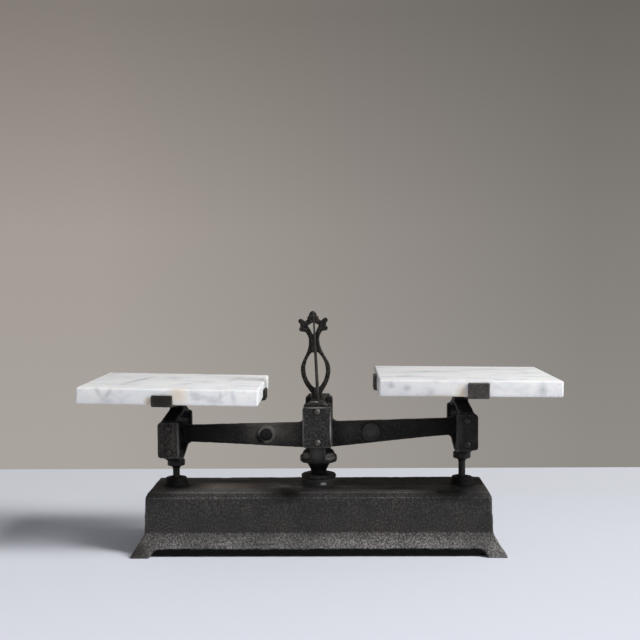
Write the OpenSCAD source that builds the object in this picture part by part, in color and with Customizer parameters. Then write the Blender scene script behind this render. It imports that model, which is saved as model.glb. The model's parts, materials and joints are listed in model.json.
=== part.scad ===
// Counter balance with two marble plates: a beam on knife edges over a hollow cast base.
// X runs along the beam, the front is -Y, Z is up, the origin is on the table under the middle.

/* [Base casting] */
// Distance from a stem to the foot ends beyond it
base_reach = 43.8; // [38:0.2:70]
// Depth over the feet
base_d = 123; // [112:1:150]
// Height of the top face
base_h = 71; // [66:0.5:90]
// How far the body stands in from the foot ends
flare_x = 14; // [8:0.5:20]
// How far the body stands in from the foot fronts
flare_y = 14.5; // [8:0.5:18]
// Height at which the flare meets the body
flare_h = 25.5; // [18:0.5:28]
// Height of the upright lip under the flare
lip_h = 2; // [1:0.5:6]
// How far each wall leans in between the flare and the shoulder
draft = 1; // [0:0.5:2]
// Height of the recess between the feet
recess_h = 9.5; // [6:0.5:14]
// Depth of the recess behind the foot fronts
recess_d = 7; // [6.5:0.5:12]
// Length of a foot along the front
foot_l = 22; // [16:1:40]
// Length of a foot along the side
foot_w = 20; // [14:1:30]
// Width of the hollow curve beside a foot
foot_curve = 9; // [5:0.5:14]
// Height of the sloping shoulder
shoulder_h = 6; // [4:0.5:10]
// Width of the sloping shoulder
shoulder_w = 3; // [2:0.5:8]
// Thickness of the side walls
base_wall = 5; // [4:0.5:8]
// Thickness of the top
base_top_t = 5; // [4:0.5:8]
// Diameter of the boss round each stem
boss_d = 24; // [20:1:32]
// Height of the boss round each stem
boss_h = 9.5; // [3:0.5:10]
// Diameter of the seat under the column
column_seat_d = 39; // [34:1:50]
// Height of the seat under the column
column_seat_h = 9; // [4:0.5:10]

/* [Column and fork] */
// Diameter of the column foot
column_foot_d = 40.4; // [34:0.2:50]
// Height of the column foot
column_foot_h = 4; // [3:0.5:5]
// Smallest diameter of the neck
neck_d = 18.4; // [16:0.2:24]
// Diameter of the collar that carries the fork
collar_d = 43; // [38:1:50]
// Thickness of that collar
collar_t = 8; // [6:0.5:10]
// Diameter of the bulb above the collar
bulb_d = 38; // [30:1:42]
// Height of the bulb
bulb_h = 7; // [5:0.5:8]
// Width of each fork arm
fork_arm_w = 17; // [12:0.5:24]
// Width of each fork upright
upright_w = 33; // [28:0.5:40]
// Height of the top of the fork above the knife line
upright_top = 28.5; // [26:0.5:34]
// Depth of the foot of each upright below the knife line
upright_low = 18; // [15:0.5:22]

/* [Balance] */
// Height of the knife line above the base's top face
knife_over = 69.5; // [67:0.5:90]
// Distance from the middle knife to each end knife
arm = 167.5; // [140:0.5:190]
// Tilt of the beam as it stands, left end low
rest_tilt = 1.3; // [0:0.1:1.6]
// Depth of the stay pivots under the base's ceiling
stay_drop = 28.5; // [27:0.5:36]
// Gap between the column's bulb and the beam
beam_gap = 2.5; // [1.5:0.5:5]
// Half distance between the outer faces of the cover plates
cover_face = 56; // [48:0.5:64]
// Thickness of the cover plates
cover_t = 4; // [3:0.5:5]
// Thickness of the uprights and cheeks that hold the bearings
cheek_t = 7; // [6:0.5:10]
// Radius of a knife edge
edge_r = 0.6; // [0.4:0.1:1]
// Half angle of a knife
knife_half_angle = 25; // [20:1:30]
// Depth of a knife from its edge to its back
knife_h = 10; // [8:0.5:11]
// Half angle of the notch in a bearing
notch_half_angle = 55; // [45:1:60]
// Thickness of a bearing behind its notch
bearing_t = 6.5; // [5:0.5:7]
// Width of a bearing
bearing_w = 16; // [14.5:0.5:18]

/* [Beam] */
// Thickness of the beam web
beam_t = 12; // [8:0.5:16]
// Width of the upstanding middle of the beam
hub_w = 33; // [26:0.5:36]
// Height of the upstanding middle above the knife line
hub_top = 26; // [20:0.5:26]
// Height of the beam's top edge above the knife line
beam_top = 4; // [2:0.5:6]
// Depth of the beam below the knife line in the middle
beam_low = 24.5; // [20:0.5:25]
// Depth of the beam below the knife line at the ends
beam_end_low = 14.5; // [13.5:0.5:18]
// Height of the flared ends above the knife line
beam_end_top = 9; // [6:0.5:9]
// Diameter of the barrels round the knives
barrel_d = 20; // [18:0.5:22]
// Length of the barrels
barrel_l = 40; // [30:1:60]
// Distance of the ring boss and the plain roundel from the middle
roundel_x = 61; // [45:1:90]
// Diameter of the ring boss and the plain roundel
roundel_d = 21; // [16:0.5:22]
// Diameter of the blind hole in the ring boss
blind_d = 14.3; // [8:0.1:15]
// Depth of the blind hole
blind_depth = 8; // [4:0.5:10]
// How far the ring boss and the roundel stand out
roundel_out = 2.5; // [1:0.5:4]

/* [Index] */
// Lean of the index frame to the left
index_lean = 2.5; // [0:0.1:2.5]
// Height of the index frame above its bridge
index_h = 101; // [92:0.5:110]
// Width of the index frame across its bow
index_w = 34.6; // [31:0.2:38]
// Thickness of the index frame
index_t = 7; // [6:0.5:8]
// Thickness of the bridge that carries it
bridge_t = 4.5; // [3.5:0.5:6]
// Thickness of the bridge at its ends
bridge_end_t = 3; // [2.5:0.5:3.5]
// Width of the bridge over the fork uprights
bridge_w = 26; // [24:0.5:33]
// Width of the bridge in the middle
bridge_waist = 15; // [14:0.5:20]
// Radius of the needle at its root
needle_r = 2; // [1.2:0.1:2.4]
// Radius of the needle where it starts to taper
needle_mid_r = 1.7; // [0.9:0.1:2]
// Radius of the needle at its tip
needle_tip_r = 0.8; // [0.4:0.1:1]
// Lean of the needle to the left of the beam's upright
needle_lean = 1.3; // [0:0.1:2.5]
// How far the needle's foot stands to the right of the knife
needle_x = 1.2; // [0:0.1:2]

/* [Carriages] */
// Width of the carriage straps
strap_w = 16; // [14:0.5:20]
// Drop of the crown's shoulders below the plate seat
crown_drop = 13; // [11:0.5:15]
// How far the left crown stands to the right of its knife
left_crown_shift = 3.5; // [-4:0.5:4]
// How far the right crown stands to the right of its knife
right_crown_shift = -2; // [-4:0.5:4]
// Thickness of the carriage straps
strap_t = 4.5; // [4:0.5:7]
// Width of the cheeks and cover plates
cheek_w = 23.6; // [20:0.2:28]
// Height of the cheeks and cover plates
cheek_h = 40; // [38:0.5:44]
// Drop of the cheeks' middle below the knife line
cheek_drop = 4.3; // [3.5:0.1:5]
// Diameter of the stem
stem_d = 8; // [6:0.5:9]
// Diameter of the collar on the stem
stem_collar_d = 20.4; // [16:0.2:24]
// Thickness of the collar on the stem
stem_collar_t = 7; // [5:0.5:9]

/* [Plates] */
// Width of a marble plate
plate_w = 200; // [160:1:240]
// Depth of a marble plate
plate_d = 166; // [140:1:200]
// Thickness of a marble plate
plate_t = 18; // [12:0.5:22]
// Radius of the plate's edges
plate_edge = 1.8; // [0.5:0.1:3]
// Height of the plate seats above the knife line
seat_h = 39; // [38:0.5:46]
// Width of the cross arms
cross_w = 23.5; // [18:0.5:26]
// Thickness of the cross at its hub
cross_hub_t = 8; // [6:0.5:8]
// Thickness of the cross arms at their tips
cross_tip_t = 2; // [2:0.5:4]
// Thickness of the upturned tabs
tab_t = 3.3; // [2.5:0.1:4]
// Height of the left tabs above the seat
left_tab_h = 11; // [8:0.5:14]
// Height of the right tabs above the seat
right_tab_h = 15.5; // [8:0.5:15.5]
// Lean of the left plate, right edge low
left_lean = 1.3; // [0:0.1:1.5]
// Lean of the right plate, right edge low
right_lean = 0.7; // [0:0.1:1.5]
// How far the left plate sits to the right of its crown
left_plate_shift = 0; // [-4:0.5:4]
// How far the right plate sits to the right of its crown
right_plate_shift = 2.5; // [-4:0.5:4]
// How far the left front arm stands off the crown
left_arm_shift = -5; // [-11:0.5:11]
// How far the right front arm stands off the crown
right_arm_shift = 10.5; // [-11:0.5:11]

/* [Fasteners and pins] */
// Diameter of the screw heads
head_d = 7.2; // [6:0.2:8]
// Height of the screw heads
head_h = 2.2; // [1.5:0.1:3]
// Diameter of the screws
screw_d = 3.6; // [3:0.1:4]
// How far a screw reaches into its thread
screw_bite = 5; // [3:0.5:5.5]
// Diameter of the column bolt
bolt_d = 10; // [8:0.5:11]
// Diameter of the stay's middle pin
stay_pin_d = 6; // [5:0.5:8]
// Diameter of the pins through the stem forks
fork_pin_d = 5; // [4:0.5:6]

/* [Clearances] */
// Gap round screws, bolts and bearings in their holes
seat_gap = 0.1; // [0.05:0.05:0.2]
// Radial running gap of a knife edge or pin that turns
run_gap = 0.05; // [0.03:0.01:0.09]
// Gap between parts that move past each other
free_gap = 0.4; // [0.3:0.1:0.6]
// Gap round the stems in the base
stem_gap = 2; // [1:0.5:3]

/* [Hidden] */
$fn = 48;
arc_steps = 6;
curve_steps = 10;
over = 1;

// Base
base_l = 2 * (arm + base_reach);
body_l = base_l - 2 * flare_x;
body_d = base_d - 2 * flare_y;
hollow_l = body_l - 2 * (base_wall + draft);
hollow_d = body_d - 2 * (base_wall + draft);
shoulder_z = base_h - shoulder_h;
ceiling_z = base_h - base_top_t;
seat_z = base_h + column_seat_h;
boss_flare = 2;
stand_gap = 1.5;
low_hollow_l = base_l - 2 * (recess_d + base_wall);
low_hollow_d = base_d - 2 * (recess_d + base_wall);
low_hollow_h = 0.3 * flare_h;
foot_round = 1.2;
foot_step = 3;

// Knife line, stay and bearings
knife_z = base_h + knife_over;
stay_z = ceiling_z - stay_drop;
tilt_drop = arm * sin(rest_tilt);
tilt_reach = arm * cos(rest_tilt);
cheek_out = cover_face - cover_t;
cheek_in = cheek_out - cheek_t;
knife_l = 2 * cheek_out - 2 * free_gap;
notch_lip = 1;
window_back = knife_h + 2.5;
corner_r = 3.5;

// Column and fork
neck_sweep = 3.5;
neck_widening = 3.8;
bulb_z = knife_z - beam_low - beam_gap - bulb_h;
collar_z = bulb_z - collar_t;
neck_low_z = seat_z + column_foot_h + neck_sweep;
neck_top_z = collar_z - 2;
neck_top_d = neck_d + 2 * neck_widening;
upright_z = knife_z - upright_low;
upright_h = upright_low + upright_top;
fork_cover_h = upright_h - 1;
fork_cover_z = knife_z + upright_top - fork_cover_h / 2 + 0.5;
fork_screw_out = fork_cover_h / 2 - 5.5;
bolt_bite = 22;
bolt_head_d = 18.4;
bolt_head_h = 6.5;
washer_d = 20;
washer_t = 2;

// Index, whose outline is drawn 34.6 units wide and 100.5 units high
index_unit = [index_w / 34.6, index_h / 100.5];
lobe_d = 5.6;
bump_d = 3.4;
bridge_z = knife_z + upright_top;
index_z = bridge_z + bridge_t;
index_x = -(index_z - knife_z) * tan(index_lean);
groove_depth = 1.5;
needle_wall = 0.8;
needle_room = 0.8;
needle_y = needle_r + needle_wall - beam_t / 2;
needle_root = hub_top - 8;
needle_top = index_z - knife_z + index_h - 2;
needle_taper = needle_top - 44;
index_front = needle_y + needle_r + needle_room;
slot_x = needle_x - (bridge_z + bridge_t / 2 - knife_z) * tan(needle_lean);
slot_w = 2 * needle_r + 2.8;
slot_d = 2 * (needle_r + needle_room);
bridge_flat = 30;
bridge_screw_z = bridge_z + bridge_end_t - 0.3;
bridge_screw_x = bridge_w / 2 - 5;
bridge_screw_y = cheek_in + 0.4 * cheek_t;
sunk_head = 1.8;

// Beam
hub_fillet = 7;
roundel_z = -8.3;
roundel_dish = 1;
roundel_rim = 2;

// Carriages, measured from the end knife's edge
cheek_top = cheek_h / 2 - cheek_drop;
cheek_low = -cheek_h / 2 - cheek_drop;
carriage_top = seat_h - cross_hub_t;
crown_z = seat_h - crown_drop;
carriage_low = cheek_low - 11;
crown_w = 26;
strap_rise = 1.5;
strap_bend = 3.5;
sole_w = 24;
cover_screw_out = cheek_h / 2 - 6.3;
nut_d = 16;
nut_h = 6;
stem_flare_h = 5.5;
stem_drop = knife_z - stay_z;
fork_block_w = 12;
fork_block_d = 18;
fork_block_top = 18;
fork_slot_top = 10;
fork_block_low = -8;
stem_end = fork_slot_top + 1;

// Stay and its bracket
stay_t = 6;
stay_h = 10;
eye_d = 15;
bracket_t = 3;
bracket_in = 11.5;
bracket_w = 16;
bracket_plate_w = 30;
pin_head_h = 2;

// Crosses and plates
cross_hub_d = 30;
cross_screw_d = 5;
cross_sunk = 0.5;
cross_screw_l = cross_hub_t + strap_t - 1;
flush = 0.01;

// Colours
iron = "#3b3836";
plate_iron = "#4b4845";
steel = "#77736d";
marble = "#eceae6";

// Points along an ellipse's arc, from angle a0 to angle a1
function arc(c, rx, rz, a0, a1) =
    [for (i = [0:arc_steps]) let (a = a0 + (a1 - a0) * i / arc_steps)
        [c[0] + rx * cos(a), c[1] + rz * sin(a)]];

// Points along a smooth curve drawn by its ends and two handles
function curve(a, b, c, d) =
    [for (i = [0:curve_steps]) let (t = i / curve_steps, s = 1 - t)
        a * s * s * s + b * 3 * s * s * t + c * 3 * s * t * t + d * t * t * t];

// A right half outline joined to its mirror image
function both_sides(half) = concat(half, [for (i = [len(half) - 1:-1:0]) [-half[i][0], half[i][1]]]);

// A rectangle with round corners about its middle
function round_box(w, h, r) = concat(
    arc([w / 2 - r, h / 2 - r], r, r, 0, 90), arc([-w / 2 + r, h / 2 - r], r, r, 90, 180),
    arc([-w / 2 + r, -h / 2 + r], r, r, 180, 270), arc([w / 2 - r, -h / 2 + r], r, r, 270, 360));

// Solids drawn across the balance, and solids drawn seen from its end
module along_y(t) { rotate([90, 0, 0]) linear_extrude(t, center = true) children(); }
module along_x(t) { rotate([90, 0, 90]) linear_extrude(t, center = true) children(); }

// Places on the tilted balance
module on_beam() { translate([0, 0, knife_z]) rotate([0, -rest_tilt, 0]) children(); }
module on_stay() { translate([0, 0, stay_z]) rotate([0, -rest_tilt, 0]) children(); }
module on_carriage(side) { translate([side * tilt_reach, 0, knife_z + side * tilt_drop]) children(); }
module on_stem_end(side) { on_carriage(side) translate([0, 0, -stem_drop]) children(); }
function crown_x(side) = side < 0 ? left_crown_shift : right_crown_shift;
module on_seat(side, lean) {
    on_carriage(side) translate([crown_x(side), 0, seat_h]) rotate([0, lean, 0]) children();
}

// Rod along Y, and a pair of copies at the front and the back
module rod_y(d, l) { rotate([90, 0, 0]) cylinder(d = d, h = l, center = true); }
module front_and_back() { children(); mirror([0, 1, 0]) children(); }
module hex_block(d, h) { cylinder(d = d, h = h, $fn = 6); }

// Base casting
module base_section(half_w, stand_in) {
    polygon(both_sides(concat(
        [[half_w, 0]],
        curve([half_w, lip_h], [half_w - 0.3 * stand_in, 0.35 * flare_h],
            [half_w - 0.75 * stand_in, 0.6 * flare_h], [half_w - stand_in, flare_h]),
        [[half_w - stand_in - draft, shoulder_z], [half_w - stand_in - draft - shoulder_w, base_h]])));
}
module recess_cut(half_w, foot) {
    polygon(both_sides(concat(
        [[half_w - foot, -over]],
        arc([half_w - foot - foot_curve, 0], foot_curve, recess_h, 0, 90))));
}
module block(l, d, z, h) { translate([-l / 2, -d / 2, z]) cube([l, d, h]); }
module recess() difference() {
    union() {
        along_y(base_d + 2 * over) recess_cut(base_l / 2, foot_l);
        along_x(base_l + 2 * over) recess_cut(base_d / 2, foot_w);
    }
    block(base_l - 2 * recess_d, base_d - 2 * recess_d, stand_gap, recess_h);
}
module boss(d, h) {
    translate([0, 0, base_h - over]) cylinder(d1 = d + 2 * boss_flare, d2 = d, h = h + over);
}
module base_casting() color(iron) difference() {
    union() {
        intersection() {
            along_y(base_d) base_section(base_l / 2, flare_x);
            along_x(base_l) base_section(base_d / 2, flare_y);
        }
        for (side = [-1, 1]) translate([side * arm, 0, 0]) boss(boss_d, boss_h);
        boss(column_seat_d, column_seat_h);
    }
    block(hollow_l, hollow_d, -over, ceiling_z + over);
    block(low_hollow_l, low_hollow_d, -over, low_hollow_h + over);
    recess();
    for (side = [-1, 1]) translate([side * arm, 0, ceiling_z - over])
        cylinder(d = stem_d + 2 * stem_gap, h = base_top_t + boss_h + 2 * over);
    translate([0, 0, ceiling_z - over]) cylinder(d = bolt_d + 2 * seat_gap, h = seat_z - ceiling_z + 2 * over);
}

// Column with its fork
module column_profile() {
    polygon(concat(
        [[0, seat_z], [column_foot_d / 2, seat_z]],
        arc([column_foot_d / 2 - foot_round, seat_z + column_foot_h - foot_round],
            foot_round, foot_round, 0, 90),
        arc([column_foot_d / 2 - foot_step, neck_low_z], column_foot_d / 2 - foot_step - neck_d / 2,
            neck_sweep, 270, 180),
        curve([neck_d / 2, neck_low_z + 0.5], [neck_d / 2 + 0.3, neck_low_z + 3],
            [neck_top_d / 2 - 1, neck_top_z - 3], [neck_top_d / 2, neck_top_z]),
        arc([collar_d / 2 - 2, collar_z + 2], 2, 2, 270, 360),
        arc([collar_d / 2 - 2, bulb_z - 2], 2, 2, 0, 90),
        arc([bulb_d / 2 - bulb_h, bulb_z], bulb_h, bulb_h, 0, 90),
        [[0, bulb_z + bulb_h]]));
}
module fork_arm() {
    polygon(concat(
        curve([-collar_d / 2 + 6, collar_z + 1], [-cheek_in + 10, collar_z + 1],
            [-cheek_out, collar_z + 8], [-cheek_out, upright_z + over]),
        curve([-cheek_in, upright_z + over], [-cheek_in, bulb_z + 7],
            [-cheek_in + 12, bulb_z + 5], [-collar_d / 2 + 6, bulb_z + 3])));
}
module knife_window() {
    translate([-bearing_w / 2 - seat_gap, -bearing_t - seat_gap])
        square([bearing_w + 2 * seat_gap, bearing_t + seat_gap + window_back]);
}
module fork_column() color(iron) difference() {
    union() {
        rotate_extrude() column_profile();
        front_and_back() {
            along_x(fork_arm_w) fork_arm();
            translate([0, -cheek_out + cheek_t / 2, upright_z + upright_h / 2]) along_y(cheek_t)
                polygon(round_box(upright_w, upright_h, corner_r));
        }
    }
    translate([0, 0, seat_z - over]) cylinder(d = bolt_d + 2 * seat_gap, h = bolt_bite + over);
    translate([0, 0, knife_z]) along_y(2 * cheek_out + 2 * over) knife_window();
    for (up = [-1, 1]) translate([0, 0, fork_cover_z + up * fork_screw_out])
        front_and_back() thread_hole();
    for (x = [-1, 1], y = [-1, 1]) translate([x * bridge_screw_x, y * bridge_screw_y, bridge_z - screw_bite])
        cylinder(d = screw_d + 2 * seat_gap, h = screw_bite + over);
}
module thread_hole() {
    translate([0, -cheek_out + (screw_bite - over) / 2, 0]) rod_y(screw_d + 2 * seat_gap, screw_bite + over);
}
module column_bolt() color(steel) {
    translate([0, 0, ceiling_z - bracket_t - washer_t]) {
        translate([0, 0, -bolt_head_h]) hex_block(bolt_head_d, bolt_head_h);
        cylinder(d = bolt_d, h = washer_t + bracket_t + seat_z - ceiling_z + bolt_bite - 2);
    }
}
module column_washer() color(steel) translate([0, 0, ceiling_z - bracket_t - washer_t]) difference() {
    cylinder(d = washer_d, h = washer_t);
    translate([0, 0, -over]) cylinder(d = bolt_d + 2 * seat_gap, h = washer_t + 2 * over);
}

// Knives and bearings, drawn with the knife's edge down at the origin
module knife_outline(r, half_angle, h) {
    top = r * cos(half_angle) + (h + r * sin(half_angle)) * tan(half_angle);
    low = [r * cos(half_angle), -r * sin(half_angle)];
    polygon([[-top, h], [-low[0], low[1]], [low[0], low[1]], [top, h]]);
    circle(r = r);
}
module bearing() {
    front_and_back() translate([0, -cheek_out + cheek_t / 2, 0]) along_y(cheek_t) difference() {
        translate([-bearing_w / 2, -bearing_t]) square([bearing_w, bearing_t + notch_lip]);
        knife_outline(edge_r + run_gap, notch_half_angle, notch_lip + over);
    }
}
module fork_bearings() color(steel) translate([0, 0, knife_z]) bearing();
module middle_knife() color(steel) on_beam() along_y(knife_l)
    knife_outline(edge_r, knife_half_angle, knife_h);
module end_knife(side) color(steel) on_beam() translate([side * arm, 0, 0]) mirror([0, 0, 1])
    along_y(knife_l) knife_outline(edge_r, knife_half_angle, knife_h);

// Cover plates and their screws
module cover(w, h, screw_out) {
    translate([0, -cover_face + cover_t / 2, 0]) difference() {
        along_y(cover_t) polygon(round_box(w, h, corner_r));
        for (up = [-1, 1]) translate([0, 0, up * screw_out])
            rod_y(screw_d + 2 * seat_gap, cover_t + 2 * over);
    }
}
module slotted_screw(reach, turn) {
    ball = (head_d * head_d / 4 + head_h * head_h) / (2 * head_h);
    difference() {
        union() {
            intersection() {
                translate([0, 0, head_h - ball]) sphere(r = ball);
                cylinder(d = head_d, h = head_h);
            }
            translate([0, 0, -reach]) cylinder(d = screw_d, h = reach + head_h / 2);
        }
        rotate([0, 0, turn]) translate([-head_d / 2, -0.5, head_h - 1]) cube([head_d, 1, 2]);
    }
}
module sunk_screw(d, l, gap, above) {
    translate([0, 0, -l]) cylinder(d = d + 2 * gap, h = l);
    translate([0, 0, (1 - sunk_head) * d / 2])
        cylinder(d1 = d + 2 * gap, d2 = sunk_head * d + 2 * gap, h = (sunk_head - 1) * d / 2);
    cylinder(d = sunk_head * d + 2 * gap, h = above);
}
module flush_screw(d, l) {
    slot = 0.28 * d;
    difference() {
        sunk_screw(d, l, 0, flush);
        translate([-d, -slot / 2, -d / 5]) cube([2 * d, slot, d]);
    }
}
module cover_screws(screw_out) {
    for (up = [-1, 1]) translate([0, 0, up * screw_out]) front_and_back()
        translate([0, -cover_face, 0]) rotate([90, 0, 0])
            slotted_screw(cover_t + screw_bite - 0.5, 20 + 50 * up);
}
module fork_cover_place() { translate([0, 0, fork_cover_z]) children(); }
module front_fork_cover() color(plate_iron) fork_cover_place() cover(upright_w, fork_cover_h, fork_screw_out);
module rear_fork_cover() color(plate_iron) mirror([0, 1, 0]) fork_cover_place()
    cover(upright_w, fork_cover_h, fork_screw_out);
module fork_cover_screws() color(steel) fork_cover_place() cover_screws(fork_screw_out);

// Index frame on its bridge
function in_units(points) = [for (p = points) [p[0] * index_unit[0], p[1] * index_unit[1]]];
module index_round(x, y, d) { translate(in_units([[x, y]])[0]) circle(d = d); }
module index_outline() {
    polygon(in_units(both_sides(concat(
        [[5.6, -over]],
        curve([6, 4.5], [9, 9.5], [17.3, 19], [17.3, 32]),
        curve([17.3, 32.5], [17.3, 44], [6.4, 50], [6, 66]),
        curve([6, 66.5], [6, 71], [7.5, 74], [10.5, 77.5]),
        [[10.2, 87.6], [6.4, 91.4]],
        arc([0, 94.4], 4.7, 6.1, 0, 90)))));
    for (s = [-1, 1]) {
        polygon(in_units([[s * 9, 76.5], [s * 14, 77.5], [s * 15.2, 84.5], [s * 15.6, 90.5],
            [s * 12.6, 91.6], [s * 9, 88.4]]));
        index_round(s * 14, 80, lobe_d);
        index_round(s * 14.5, 89.4, lobe_d);
        index_round(s * 4.9, 92.8, bump_d);
    }
}
module index_openings() {
    polygon(in_units(both_sides(concat(
        [[0, 10.8]],
        curve([3.2, 11.5], [7, 14.5], [12, 23], [12, 32]),
        curve([12, 32.5], [12, 41], [8.2, 47], [5, 51]),
        [[3.6, 52.4], [0, 52]]))));
    polygon(in_units(both_sides(concat(
        curve([0, 73], [1.8, 73], [2.6, 76.5], [3.8, 79]),
        [[6.7, 83.8], [0, 87.4]]))));
}
module index_grooves() {
    polygon(in_units([[-3.6, 50], [3.6, 50], [3, 76], [-3, 76]]));
    polygon(in_units([[-2.8, over], [2.8, over], [2.8, 13], [-2.8, 13]]));
}
module bridge_outline() {
    half_w = bridge_w / 2;
    waist = bridge_waist / 2;
    side = concat(
        [[half_w - 2, -cheek_out], [half_w, -cheek_out + 2], [half_w, -cheek_in]],
        curve([half_w - 0.5, -cheek_in + 1], [waist + 1, -cheek_in + 10], [waist, -cheek_in + 20],
            [waist, 0]));
    polygon(concat(side,
        [for (i = [len(side) - 1:-1:0]) [side[i][0], -side[i][1]]],
        [for (p = side) [-p[0], -p[1]]],
        [for (i = [len(side) - 1:-1:0]) [-side[i][0], side[i][1]]]));
}
module bridge_side() {
    polygon(both_sides([[cheek_out, 0], [cheek_out, bridge_end_t], [bridge_flat, bridge_t]]));
}
module bridge() difference() {
    translate([0, 0, bridge_z]) intersection() {
        linear_extrude(bridge_t) bridge_outline();
        along_x(bridge_w) bridge_side();
    }
    translate([slot_x, needle_y, bridge_z - over]) linear_extrude(bridge_t + 2 * over)
        polygon(round_box(slot_w, slot_d, 1));
    for (x = [-1, 1], y = [-1, 1]) translate([x * bridge_screw_x, y * bridge_screw_y, bridge_screw_z])
        sunk_screw(screw_d, bridge_end_t + over, seat_gap, bridge_t);
}
module on_index(depth) {
    translate([index_x, index_front + depth, index_z]) rotate([0, -index_lean, 0]) children();
}
module index_frame() color(iron) {
    bridge();
    difference() {
        intersection() {
            on_index(index_t / 2) along_y(index_t) difference() {
                index_outline();
                index_openings();
            }
            translate([-index_w, index_front - over, bridge_z + over])
                cube([2 * index_w, index_t + 2 * over, 2 * index_h]);
        }
        on_index((groove_depth - over) / 2) along_y(groove_depth + over) index_grooves();
    }
}
module index_screws() color(steel)
    for (x = [-1, 1], y = [-1, 1]) translate([x * bridge_screw_x, y * bridge_screw_y, bridge_screw_z])
        rotate([0, 0, 40 * x + 15 * y]) flush_screw(screw_d, bridge_end_t + screw_bite - 1);

// Beam
module beam_outline() {
    polygon(both_sides(concat(
        [[0, hub_top]],
        arc([hub_w / 2 - 3, hub_top - 3], 3, 3, 90, 0),
        arc([hub_w / 2 + hub_fillet, beam_top + hub_fillet], hub_fillet, hub_fillet, 180, 270),
        curve([arm - 18, beam_top + 0.5], [arm - 12, beam_top + 1], [arm - 9, beam_end_top],
            [arm - 2, beam_end_top]),
        arc([arm + 5, beam_end_top - 4], 4, 4, 90, 0),
        arc([arm + 4, -beam_end_low + 5], 5, 5, 0, -90),
        curve([arm - 14, -beam_end_low], [arm - 45, -beam_end_low - 1], [hub_w / 2 + 20, -beam_low + 1],
            [hub_w / 2 + 2, -beam_low]),
        [[0, -beam_low]])));
}
module beam() color(iron) on_beam() difference() {
    union() {
        along_y(beam_t) beam_outline();
        translate([0, 0, knife_h / 2]) rod_y(barrel_d, barrel_l);
        for (side = [-1, 1]) translate([side * arm, 0, -knife_h / 2]) rod_y(barrel_d, barrel_l);
        for (side = [-1, 1]) translate([side * roundel_x, -(beam_t + roundel_out) / 2, roundel_z])
            rod_y(roundel_d, roundel_out + 0.01);
    }
    translate([-roundel_x, -beam_t / 2 - roundel_out + (blind_depth - over) / 2, roundel_z])
        rod_y(blind_d, blind_depth + over);
    translate([roundel_x, -beam_t / 2 - roundel_out, roundel_z])
        rod_y(roundel_d - 2 * roundel_rim, 2 * roundel_dish);
    along_y(barrel_l + 2 * over) knife_outline(edge_r, knife_half_angle, knife_h);
    for (side = [-1, 1]) translate([side * arm, 0, 0]) mirror([0, 0, 1]) along_y(barrel_l + 2 * over)
        knife_outline(edge_r, knife_half_angle, knife_h);
    needle_rod(hub_top - needle_root + over);
}
module on_needle(height) {
    translate([needle_x, needle_y, 0]) rotate([0, -needle_lean, 0]) translate([0, 0, height]) children();
}
module needle_rod(l) { on_needle(needle_root) cylinder(r = needle_r, h = l); }
module needle() color(steel) on_beam() {
    needle_rod(hub_top - needle_root);
    on_needle(hub_top) cylinder(r1 = needle_r, r2 = needle_mid_r, h = needle_taper - hub_top);
    on_needle(needle_taper) cylinder(r1 = needle_mid_r, r2 = needle_tip_r, h = needle_top - needle_taper);
}

// Carriages
module carriage_sole() {
    polygon([[0, carriage_low], [-sole_w / 2, carriage_low], [-cheek_out, cheek_low], [-cheek_out, 0],
        [-cheek_in, 0], [-cheek_in, cheek_low + strap_bend], [1 - sole_w / 2, carriage_low + strap_t],
        [0, carriage_low + strap_t]]);
}
module carriage_crown(x) {
    translate([x - strap_w / 2, -crown_w / 2, crown_z - strap_t])
        cube([strap_w, crown_w, carriage_top + over - crown_z + strap_t]);
    front_and_back() hull() {
        translate([-strap_w / 2, -cheek_out, cheek_top + strap_rise - strap_t])
            cube([strap_w, cheek_t, strap_t]);
        translate([x - strap_w / 2, -crown_w / 2, crown_z - strap_t]) cube([strap_w, over, strap_t]);
    }
}
module carriage_frame(side, lean) color(iron) {
    difference() {
        on_carriage(side) {
            front_and_back() along_x(strap_w) carriage_sole();
            carriage_crown(crown_x(side));
            front_and_back() translate([0, -cheek_out + cheek_t / 2, -cheek_drop]) along_y(cheek_t)
                polygon(round_box(cheek_w, cheek_h, corner_r));
        }
        on_carriage(side) {
            along_y(2 * cheek_out + 2 * over) mirror([0, 1]) knife_window();
            translate([0, 0, -cheek_drop]) for (up = [-1, 1]) translate([0, 0, up * cover_screw_out])
                front_and_back() thread_hole();
            translate([0, 0, carriage_low - over])
                cylinder(d = stem_d + 2 * seat_gap, h = strap_t + 2 * over);
        }
        on_seat(side, lean) translate([-cheek_w, -crown_w, -cross_hub_t])
            cube([2 * cheek_w, 2 * crown_w, cross_hub_t]);
        on_seat(side, lean) translate([0, 0, -cross_hub_t - strap_t - over])
            cylinder(d = cross_screw_d + 2 * seat_gap, h = cross_hub_t + strap_t);
    }
}
module carriage_bearings(side) color(steel) on_carriage(side) mirror([0, 0, 1]) bearing();
module carriage_cover(side, back) color(plate_iron) mirror([0, back, 0]) on_carriage(side)
    translate([0, 0, -cheek_drop]) cover(cheek_w, cheek_h, cover_screw_out);
module carriage_cover_screws(side) color(steel) on_carriage(side) translate([0, 0, -cheek_drop])
    cover_screws(cover_screw_out);

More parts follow.
